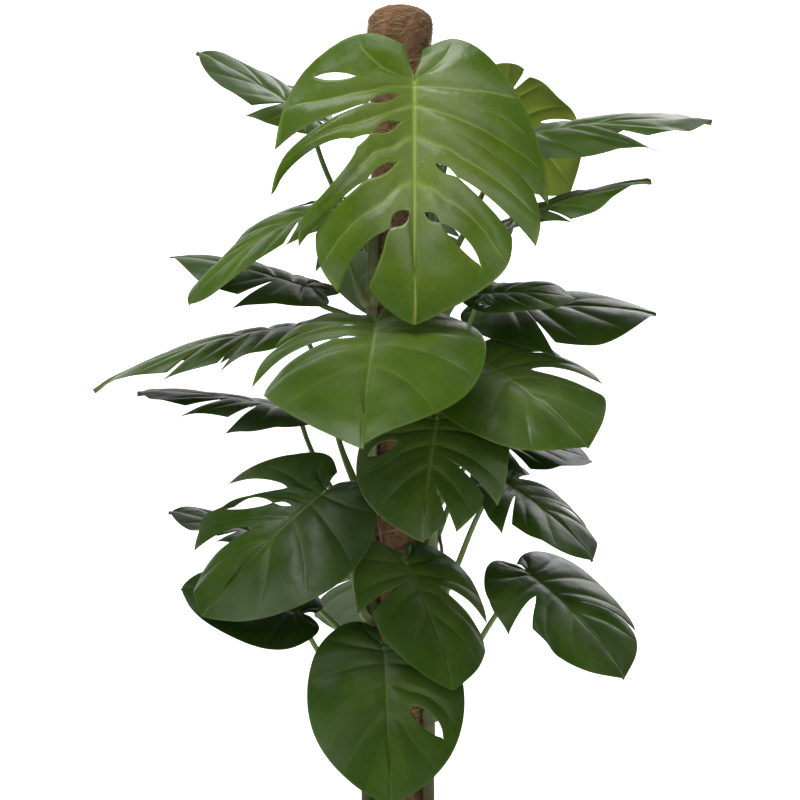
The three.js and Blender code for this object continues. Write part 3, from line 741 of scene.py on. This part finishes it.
def makeStalk(name, leaf):
    node = stemPoint(leaf["stem"], leaf["node"])
    base = bladeBase(leaf)
    axes = bladeAxes(leaf)
    normal = axes[2]
    outward = unit(np.array([node[0], node[1], 0]))
    towards = base - node
    towards[2] = 0
    towards = unit(towards)
    away = unit(towards + outward * max(0, 0.3 - np.dot(towards, outward)))
    start = node + away * (stemRadius + stalkRadius + stalkGap)
    arrive = towards * 0.6 + normal * 0.8
    arrive[2] = max(0.35, normal[2] * 0.8 + 0.3)
    arrive = unit(arrive)
    lean = math.sqrt(max(0, 1 - np.dot(arrive, normal) ** 2))
    end = base - normal * (0.6 * mm + bladeGap + stalkRadius * lean)
    span = np.linalg.norm(end - start)
    leave = unit(away * 0.55 + np.array([0, 0, 1.0]))
    path = bezier(start, start + leave * span * 0.4, end - arrive * span * 0.35, end,
                  stalkLook["steps"])
    # carry the stalk on into the stem and up under the blade
    under = base - normal * 1.2 * mm + axes[0] * 5 * mm
    root = node + away * stemRadius * 0.35 - np.array([0, 0, 5 * mm])
    path = np.concatenate([[root, (root + start) / 2 - np.array([0, 0, 1 * mm])], path, [under]])
    lengths = np.concatenate([[0], np.cumsum(np.linalg.norm(np.diff(path, axis=0), axis=1))])
    share = lengths / lengths[-1]
    fromTop = lengths[-1] - lengths
    radii = stalkRadius * (1.12 - 0.3 * share)
    swell = stalkLook["baseSwell"] * np.exp(-(lengths / stalkLook["baseLength"]) ** 2)
    knee = np.exp(-((fromTop - stalkLook["kneeFromTop"]) / stalkLook["kneeLength"]) ** 2)
    rings = 1 + 0.06 * np.sin(fromTop * stalkLook["kneeRings"])
    radii = radii + stalkRadius * (swell + stalkLook["kneeSwell"] * knee * rings)
    radii[-1] *= 0.55
    sheath = smooth((stalkLook["sheathShare"] - share) * 6)
    _, rights, ups = framesAlong(path)
    angleOfTop = np.arctan2(ups @ outward, rights @ outward) + math.pi

    def section(angles):
        # a groove along the top, between the two wings of the sheath
        turn = angles[None, :] - angleOfTop[:, None]

        def ridgeAt(place, width):
            return np.exp(-(np.angle(np.exp(1j * (turn + place))) / width) ** 2)

        groove = stalkLook["grooveDepth"] * ridgeAt(0, 0.5) * (0.4 + sheath[:, None])
        wings = ridgeAt(-0.85, 0.3) + ridgeAt(0.85, 0.3)
        return 1 - groove + stalkLook["sheathWidth"] * wings * sheath[:, None]

    sides = stalkLook["sides"]
    verts, faces = sweep(path, radii, sides, section)
    tone = np.repeat(np.clip(1 - lengths / (35 * mm), 0, 1) * 0.9 + 0.15 * knee, sides)
    turns = np.tile(np.arange(sides) / sides * 2 * math.pi, len(path))
    spot = np.stack([np.cos(turns) * 3 * mm, np.sin(turns) * 3 * mm,
                     np.repeat(lengths, sides) + leaf["seed"]], -1)
    return addPiece(name + "_petiole", verts, faces, stalkGreen, [name + "_stalk"],
                    {"tone": tone, "leafPlace": spot})


stalkGreen = stalkSkin()
for number, (name, own) in enumerate(leafTable.items()):
    leaf = {**own, "seed": 1.7 * number}
    makeBlade(name, leaf)
    makeStalk(name, leaf)
print("leaves and stalks made:", len(leafTable))


# ---- stems

stemLook = {
    "rings": 260, "sides": 28, "thickness": 0.93, "nodeSwell": 1.1 * mm, "nodeLength": 7 * mm,
    "scarDepth": 0.7 * mm, "scarLength": 1.6 * mm, "scarBelow": 9 * mm, "woodyLength": 160 * mm,
    "tipRings": 14,
}


def stemSkin():
    n = Nodes("stem_bark")
    place = n.place()
    patches = n.between(n.noise(place, 38, 5), 0.38, 0.62)
    color = n.mix(patches, (0.06, 0.09, 0.02), (0.13, 0.15, 0.05))
    color = n.mix(n.between(n.noise(place, 120, 5), 0.5, 0.7, 0, 0.8), color, (0.13, 0.085, 0.045))
    color = n.mix(n.value("tone"), color, (0.07, 0.045, 0.028))
    ridges = n.noise(n.stretched(place, (1, 1, 0.12)), 420, 4)
    n.bump([(ridges, 0.0008, 0.7), (n.noise(place, 900, 3), 0.0003, 0.5)])
    return n.finish(color, n.between(patches, 0, 1, 0.5, 0.7))


def makeStem(name):
    stem = stems[name]
    low = soilZ - rimZ - stemBelowSoil + 1 * mm
    heights = np.linspace(low, stem["top"], stemLook["rings"])
    nodes = [leaf["node"] for leaf in leafTable.values() if leaf["stem"] == name]
    path = np.array([stemPoint(name, h) for h in heights])
    radii = np.full(len(path), stemRadius * stemLook["thickness"])
    tone = np.clip(1 - (heights - low) / stemLook["woodyLength"], 0, 1) * 0.9
    for node in nodes:
        # a swelling at each node and a leaf scar under it
        scar = heights - node + stemLook["scarBelow"]
        radii += stemLook["nodeSwell"] * np.exp(-((heights - node) / stemLook["nodeLength"]) ** 2)
        radii -= stemLook["scarDepth"] * np.exp(-(scar / stemLook["scarLength"]) ** 2)
        tone = np.maximum(tone, 0.7 * np.exp(-(scar / (2.5 * mm)) ** 2))
    tip, sides = stemLook["tipRings"], stemLook["sides"]
    radii[-tip:] *= np.linspace(1, 0.12, tip) ** 0.6
    bumps = np.random.default_rng(int(stem["top"] * 1000)).normal(0, 1, (len(path), sides))
    for _ in range(3):
        bumps = (bumps + np.roll(bumps, 1, 0) + np.roll(bumps, 1, 1) + np.roll(bumps, -1, 1)) / 4
    verts, faces = sweep(path, radii, sides, lambda angles: 1 + 0.06 * bumps)
    addPiece(name + "_bark", verts, faces, stemBark, [name],
             {"tone": np.repeat(tone, sides)})


stemBark = stemSkin()
for name in stems:
    makeStem(name)
print("stems made")

# ---- air roots

roots = {
    "air_root_right": {"stem": "stem_right", "from": 0.300, "drop": 0.190, "turn": 27},
    "air_root_left": {"stem": "stem_left", "from": 0.330, "drop": 0.090, "turn": 27},
    "air_root_back": {"stem": "stem_back", "from": 0.270, "drop": 0.230, "turn": 27},
}
rootRadius = 1.6 * mm
rootLook = {
    "rings": 90, "sides": 10, "tipRings": 9, "wobble": 1.6 * mm, "bow": 5 * mm, "stand": 8 * mm,
}


def rootSkin():
    n = Nodes("air_root_brown")
    place = n.place()
    patches = n.noise(place, 90, 5)
    color = n.mix(n.between(patches, 0.35, 0.65), (0.09, 0.045, 0.025), (0.22, 0.13, 0.075))
    color = n.mix(n.value("tone"), color, (0.45, 0.36, 0.22))
    n.bump([(patches, 0.0009, 0.8), (n.noise(place, 800, 3), 0.0003, 0.5)])
    return n.finish(color, n.between(patches, 0.3, 0.7, 0.55, 0.8))


def makeRoot(name):
    own = roots[name]
    stem = stems[own["stem"]]
    bearing = stem["foot"] + (stem["head"] - stem["foot"]) * own["from"] / stem["top"]
    z = rimZ + own["from"]
    firstTurn = math.degrees((stemRadius + rootRadius) / stemOrbit)
    turn, drop = own["turn"], own["drop"]
    rings, sides, tip = rootLook["rings"], rootLook["sides"], rootLook["tipRings"]
    near, far = stemOrbit + rootLook["bow"], stemOrbit + rootLook["stand"]
    path = curveThrough([
        onBearing(bearing + firstTurn * 0.5, stemOrbit, z + 1 * mm),
        onBearing(bearing + turn * 0.7, near, z - drop * 0.06),
        onBearing(bearing + turn, far, z - drop * 0.3),
        onBearing(bearing + turn * 1.15, near, z - drop * 0.7),
        onBearing(bearing + turn, far, z - drop),
    ], rings)
    wobble = np.random.default_rng(int(drop * 1000)).normal(0, 1, (rings, 3))
    for _ in range(12):
        wobble[1:-1] = (wobble[:-2] + wobble[1:-1] + wobble[2:]) / 3
    path = path + wobble * rootLook["wobble"]
    share = np.linspace(0, 1, rings)
    radii = rootRadius * (1.15 - 0.35 * share + 0.05 * np.sin(70 * share))
    radii[-tip:] *= np.linspace(1, 0.15, tip) ** 0.6
    verts, faces = sweep(path, radii, sides)
    tone = np.repeat(smooth((share - 0.93) * 16) * 0.8, sides)
    addPiece(name + "_live", verts, faces, rootBrown, [name], {"tone": tone})


rootBrown = rootSkin()
for name in roots:
    makeRoot(name)
print("air roots made")

# ---- coir pole

coir = {
    "rings": 330, "crownRings": 34, "sides": 120, "lumps": 1.6 * mm,
    "strands": 5200, "strandRadius": 0.32 * mm, "strandLength": (16 * mm, 46 * mm),
    "looseStrands": 520, "twinePitch": 46 * mm, "twineRadius": 0.55 * mm, "seed": 11,
}


def coirSkin():
    n = Nodes("coir_fibre")
    place = n.place()
    tone = n.value("tone")
    color = n.mix(tone, (0.17, 0.085, 0.038), (0.66, 0.43, 0.24))
    color = n.mix(n.between(n.noise(place, 55, 5), 0.35, 0.68, 0, 0.4), color, (0.34, 0.19, 0.095))
    color = n.mix(n.between(n.noise(place, 900, 4), 0.5, 0.75, 0, 0.5), color, (0.6, 0.42, 0.27))
    strands = n.noise(n.stretched(place, (1, 1, 3)), 800, 5, 0.7)
    n.bump([(strands, 0.0012, 0.9)])
    return n.finish(color, n.between(strands, 0.3, 0.7, 0.8, 0.95), specular=0.25)


def coirRadius(z):
    flare = poleHeadFlare * smooth((z - (poleTop - 60 * mm)) / (35 * mm))
    dome = np.sqrt(np.clip(1 - np.clip((z - (poleTop - 22 * mm)) / (21 * mm), 0, 1) ** 2.4, 0, 1))
    return (poleRadius + flare - 1.2 * mm) * dome


def makeCoir():
    rng = np.random.default_rng(coir["seed"])
    shoulder = poleTop - 24 * mm
    crown = shoulder + 22.9 * mm * np.sin(np.linspace(0.04, math.pi / 2, coir["crownRings"]))
    heights = np.concatenate([np.linspace(soilZ - 26 * mm, shoulder, coir["rings"]), crown])
    sides = coir["sides"]
    fine = rng.normal(0, 1, (len(heights), sides))
    bumps = coir["lumps"] * 0.5 * np.clip(softened(fine, 5), -2, 2) + 0.15 * mm * fine
    angles = np.linspace(0, 2 * math.pi, sides, endpoint=False)
    radius = np.maximum(coirRadius(heights)[:, None] + bumps, 0.4 * mm)
    verts = onCircles(radius, angles, heights[:, None])
    parts = [(verts, closedTube(len(heights), sides))]
    tones = [np.full(len(verts), 0.12)]

    # strands that lie in the mat
    count = coir["strands"]
    segments = 8
    share = np.linspace(-0.5, 0.5, segments)
    length = rng.uniform(*coir["strandLength"], count)
    midZ = rng.uniform(soilZ, poleTop - 2 * mm, count)
    midAngle = rng.uniform(0, 2 * math.pi, count)
    tilt = rng.normal(0, 0.55, count)
    bow = rng.normal(0, 0.35, count)
    lift = np.abs(rng.normal(0, 0.7 * mm, count)) + 0.1 * mm
    taper = coir["strandRadius"] * (1 - 0.5 * np.abs(share * 2) ** 3)
    for index in range(count):
        rise = share * math.sin(tilt[index]) + bow[index] * (share ** 2 - 0.08)
        z = np.minimum(midZ[index] + length[index] * rise, poleTop - 1.3 * mm)
        surface = coirRadius(z) + lift[index] * (1 + 1.6 * np.abs(share) * (index % 3 == 0))
        angle = midAngle[index] + share * length[index] * math.cos(tilt[index]) / poleRadius
        parts.append(sweep(onCircles(surface, angle, z), taper * rng.uniform(0.7, 1.3), 3))
        tones.append(np.full(segments * 3, rng.uniform(0.15, 0.95)))

    # wisps that stand off the pole, most of them at its head
    for index in range(coir["looseStrands"]):
        below = abs(rng.normal(0, 40 * mm)) if index % 3 else rng.uniform(0, 0.8)
        z0 = poleTop - below - 3 * mm
        angle = rng.uniform(0, 2 * math.pi)
        surface = float(coirRadius(np.array([z0]))[0])
        out = np.array([math.sin(angle), -math.cos(angle), 0])
        along = np.array([out[1], -out[0], 0]) * rng.choice([-1, 1])
        reach = rng.uniform(6, 15) * mm
        s = np.linspace(0, 1, segments)[:, None]
        end = out * rng.uniform(0.1, 0.32) + along * rng.uniform(0.3, 1)
        end = end + np.array([0, 0, rng.uniform(-0.6, 0.5)])
        wander = s * end + s ** 2 * rng.normal(0, 0.2, 3)
        strand = out * surface + np.array([0, 0, z0]) + reach * wander
        strand[:, 2] = np.minimum(strand[:, 2], poleTop - 0.4 * mm)
        parts.append(sweep(strand, coir["strandRadius"] * 0.7 * (1.1 - s[:, 0]), 3))
        tones.append(np.full(segments * 3, rng.uniform(0.4, 1)))

    # twine wound round the mat
    turns = np.arange(soilZ + 5 * mm, poleTop - 18 * mm, 1.6 * mm)
    angle = (turns - turns[0]) / coir["twinePitch"] * 2 * math.pi
    twine = onCircles(coirRadius(turns) + 1.4 * mm, angle, turns)
    parts.append(sweep(twine, np.full(len(turns), coir["twineRadius"]), 6))
    tones.append(np.full(len(turns) * 6, 0.85))
    verts, faces = joinParts(parts)
    addPiece("pole_fibre", verts, faces, coirSkin(), ["pole_coir"],
             {"tone": np.concatenate(tones)})


makeCoir()
print("coir pole made")


def coreSkin():
    n = Nodes("core_wood")
    place = n.stretched(n.place(), (1, 1, 0.08))
    grain = n.noise(place, 300, 5)
    color = n.mix(n.between(grain, 0.35, 0.65), (0.25, 0.15, 0.07), (0.5, 0.34, 0.18))
    n.bump([(grain, 0.0006, 0.6)])
    return n.finish(color, n.between(grain, 0.3, 0.7, 0.6, 0.8))


core = bpy.data.objects["pole_core"]
core.data.materials.clear()
core.data.materials.append(coreSkin())

# ---- soil

soil = {
    "rings": 74, "sides": 200, "relief": 2.2 * mm, "wallSlope": 0.107,
    "crumbs": 2300, "crumbSize": (1.2 * mm, 5 * mm), "seed": 5,
}


def soilSkin():
    n = Nodes("potting_soil")
    place = n.place()
    tone = n.value("tone")
    color = n.mix(tone, (0.014, 0.009, 0.006), (0.11, 0.065, 0.035))
    color = n.mix(n.between(n.noise(place, 700, 5), 0.45, 0.7, 0, 0.5), color, (0.05, 0.03, 0.018))
    color = n.mix(n.between(tone, 0.96, 1.0), color, (0.62, 0.6, 0.55))
    rough = n.noise(place, 1400, 5, 0.7)
    n.bump([(rough, 0.0012, 0.8)])
    return n.finish(color, n.between(rough, 0.3, 0.7, 0.85, 1.0), specular=0.2)


def makeSoil():
    rng = np.random.default_rng(soil["seed"])
    low = soilBox[0][2] + 0.5 * mm
    inner, outer = poleRadius - 1.2 * mm, soilBox[1][0] - 0.6 * mm
    rings, sides = soil["rings"], soil["sides"]
    radius = np.linspace(inner, outer, rings)
    angles = np.linspace(0, 2 * math.pi, sides, endpoint=False)

    def edgeFall(distance):
        # the soil sinks a little towards the pot's wall
        return 4 * mm * smooth((distance - (outer - 14 * mm)) / (14 * mm))

    bumps = softened(rng.normal(0, 1, (rings, sides)), 3, wrapped=False)
    z = soilZ - 2.6 * mm - edgeFall(radius)[:, None]
    z = z + soil["relief"] * 0.5 * np.clip(bumps, -1.8, 1.8)
    foot = outer - (soilZ - soilBox[0][2]) * soil["wallSlope"]
    top = onCircles(radius[:, None], angles, z)
    wall, bore = onCircles(foot, angles, low), onCircles(inner, angles, low)
    quads = ringQuads(rings, sides)[:, [0, 3, 2, 1]].tolist()
    last = (rings - 1) * sides
    base = len(top)
    for k in range(sides):
        r = (k + 1) % sides
        quads.append([last + k, base + k, base + r, last + r])
        quads.append([base + k, base + sides + k, base + sides + r, base + r])
        quads.append([base + sides + k, k, r, base + sides + r])
    verts = np.concatenate([top, wall, bore])
    parts, tones = [(verts, quads)], [np.full(len(verts), 0.12)]

    # crumbs and a few grains of perlite, each a small uneven block
    cube = np.array([[x, y, w] for x in (-1, 1) for y in (-1, 1) for w in (-1, 1)], dtype=float)
    blockFaces = [
        [0, 1, 3, 2], [4, 6, 7, 5], [0, 4, 5, 1], [2, 3, 7, 6], [0, 2, 6, 4], [1, 5, 7, 3],
    ]
    nearest, farthest = poleRadius + 3 * mm, outer - 4 * mm
    for _ in range(soil["crumbs"]):
        bearing = rng.uniform(0, 360)
        distance = math.sqrt(rng.uniform(nearest ** 2, farthest ** 2))
        spot = onBearing(bearing, distance, soilZ - 2.2 * mm - float(edgeFall(distance)))
        size = rng.uniform(*soil["crumbSize"]) * rng.uniform(0.4, 1)
        perlite = rng.random() < 0.05
        shape = unit(cube + rng.normal(0, 0.35, cube.shape)) * size * 0.5
        if not perlite:
            shape = shape * rng.uniform(0.5, 1.6, 3)
        shape[:, 2] = np.minimum(shape[:, 2], soilZ + 1.5 * mm - spot[2])
        parts.append((shape + spot, blockFaces))
        tones.append(np.full(len(cube), 1.0 if perlite else rng.uniform(0.05, 0.85)))
    verts, faces = joinParts(parts)
    addPiece("soil_bed", verts, faces, soilSkin(), ["soil"],
             {"tone": np.concatenate(tones)})


makeSoil()
print("soil made")

# ---- pot


def potSkin():
    n = Nodes("pot_plastic")
    place = n.place()
    cloud = n.noise(place, 16, 5)
    color = n.mix(n.between(cloud, 0.35, 0.65), (0.012, 0.0125, 0.014), (0.022, 0.023, 0.025))
    scuffs = n.between(n.noise(n.stretched(place, (1, 1, 0.25)), 240, 5, 0.7), 0.6, 0.8)
    color = n.mix(n.maths("MULTIPLY", scuffs, 0.3), color, (0.08, 0.08, 0.08))
    grain = n.noise(place, 1800, 3)
    n.bump([(grain, 0.00015, 0.5), (cloud, 0.001, 0.3)])
    return n.finish(color, n.between(cloud, 0.3, 0.7, 0.42, 0.6))


potLook = {
    "wall": 2.4 * mm, "floor": 3 * mm, "bandHeight": 20 * mm, "bandOverhang": 4 * mm,
    "footRadius": 92 * mm, "holes": 8, "holeRadius": 6 * mm, "holeRing": 70 * mm,
    "hub": 30 * mm, "segments": 192,
}


def rounded(corners, radius, steps=4):
    # turns each inner corner of an open profile into a small arc
    corners = np.array(corners)
    points = [corners[0]]
    for before, corner, after in zip(corners, corners[1:], corners[2:]):
        reach = min(radius, *(0.45 * np.linalg.norm(end - corner) for end in (before, after)))
        start, end = (corner + unit(way - corner) * reach for way in (before, after))
        for t in np.linspace(0, 1, steps):
            points.append((1 - t) ** 2 * start + 2 * t * (1 - t) * corner + t ** 2 * end)
    return points + [corners[-1]]


def turned(profile, segments):
    # turns an open profile of (radius, height) round the axis and closes both ends flat
    angles = np.arange(segments) * 2 * math.pi / segments
    radius, height = np.array(profile).T[:, :, None]
    return onCircles(radius, angles, height), closedTube(len(profile), segments)


def makePot():
    own = potLook
    rimRadius, foot, wall = potBox[1][0], own["footRadius"], own["wall"]
    bandLow = rimZ - own["bandHeight"]

    def radiusAt(z):
        return foot + (rimRadius - own["bandOverhang"] - foot) * z / rimZ

    outside = [(own["hub"], 0), (foot - 1 * mm, 0), (foot, 2.5 * mm)]
    for z in (14 * mm, bandLow - 16 * mm):
        # a shallow groove runs round the foot and below the band
        for step, depth in ((0, 0), (1.2, 0.8), (3.2, 0.8), (4.4, 0)):
            outside.append((radiusAt(z + step * mm) - depth * mm, z + step * mm))
    outside += [(radiusAt(bandLow), bandLow), (rimRadius - 1 * mm, bandLow + 0.4 * mm),
                (rimRadius, rimZ - 3 * mm), (rimRadius - 0.4 * mm, rimZ)]
    inside = [(radiusAt(rimZ) - wall, rimZ), (radiusAt(own["floor"]) - wall, own["floor"]),
              (own["hub"], own["floor"])]
    shell = plainObject("pot_shell", *turned(rounded(outside + inside, 1 * mm), own["segments"]))
    drills = []
    for hole in range(own["holes"]):
        verts, faces = turned([(own["holeRadius"], -2 * mm), (own["holeRadius"], 7 * mm)], 32)
        drills.append((verts + onBearing(hole * 360 / own["holes"], own["holeRing"], 0), faces))
    drill = plainObject("pot_drill", *joinParts(drills))
    cut = shell.modifiers.new("drain_holes", "BOOLEAN")
    cut.object, cut.operation, cut.solver = drill, "DIFFERENCE", "EXACT"
    bpy.context.view_layer.update()
    settled = shell.evaluated_get(bpy.context.evaluated_depsgraph_get())
    drilled = bpy.data.meshes.new_from_object(settled)
    verts = np.array([list(vertex.co) for vertex in drilled.vertices])
    faces = [list(face.vertices) for face in drilled.polygons]
    for thing in (shell, drill):
        bpy.data.objects.remove(thing)
    piece = addPiece("nursery_pot", verts, faces, potSkin(), ["pot"])
    piece.data.set_sharp_from_angle(angle=math.radians(40))


makePot()
print("pot made")


# ---- floor, backdrop, lights and camera

stage = {
    "front": 7.0, "back": 7.5, "halfWidth": 9.0, "top": 8.0, "curve": 1.2, "glow": (0.62, 1.02),
}


def makeStage():
    n = Nodes("backdrop_white")
    n.finish((0.93, 0.93, 0.93), 0.9)
    n.feed(n.shader.inputs["Emission Color"], (1, 1, 1))
    where = n.add("ShaderNodeSeparateXYZ")
    n.feed(where.inputs[0], n.place())
    glow = n.between(where.outputs["Y"], 1.0, 3.5, *stage["glow"])
    n.feed(n.shader.inputs["Emission Strength"], glow)
    back, curve = stage["back"], stage["curve"]
    profile = [(-stage["front"], 0.0), (back - curve, 0.0)]
    for a in np.linspace(0.1, math.pi / 2, 12):
        profile.append((back - curve + curve * math.sin(a), curve - curve * math.cos(a)))
    profile += [(back, stage["top"])]
    half = stage["halfWidth"]
    verts = np.array([[x, y, z] for y, z in profile for x in (-half, half)])
    faces = [[2 * i, 2 * i + 1, 2 * i + 3, 2 * i + 2] for i in range(len(profile) - 1)]
    floor = plainObject("floor_sweep", verts, faces)
    floor.data.materials.append(n.material)
    floor.data.shade_smooth()


lights = {
    "overhead": {"at": (-0.5, -0.9, 2.6), "aim": (0, 0, 0.8), "size": 1.6, "power": 36},
    "front": {"at": (0.6, -3.4, 1.9), "aim": (0, 0, 0.8), "size": 2.4, "power": 20},
    "left": {"at": (-2.2, -0.6, 1.5), "aim": (0, 0, 0.75), "size": 1.4, "power": 9},
    "back": {"at": (1.0, 1.9, 2.2), "aim": (0, 0, 0.9), "size": 1.6, "power": 14},
}
roomLight = 0.18


def makeLights():
    for name, own in lights.items():
        data = bpy.data.lights.new(name, "AREA")
        data.shape = "DISK"
        data.size = own["size"]
        data.energy = own["power"]
        lamp = linked(name, data)
        lamp.location = own["at"]
        beam = Vector(own["aim"]) - Vector(own["at"])
        lamp.rotation_euler = beam.to_track_quat("-Z", "Y").to_euler()
    world = bpy.data.worlds.new("soft_room")
    world.use_nodes = True
    room = world.node_tree.nodes["Background"].inputs
    room["Color"].default_value = (1, 1, 1, 1)
    room["Strength"].default_value = roomLight
    bpy.context.scene.world = world


def makeCamera():
    # level with the middle of the foliage
    data = bpy.data.cameras.new("camera")
    data.lens = 117
    data.sensor_width = 36
    camera = linked("camera", data)
    camera.location = (0, -2.6, 0.65)
    camera.rotation_euler = (math.radians(90), 0, 0)
    bpy.context.scene.camera = camera


makeStage()
makeLights()
makeCamera()
bpy.context.scene.view_settings.view_transform = "Standard"
print("stage, lights and camera made")
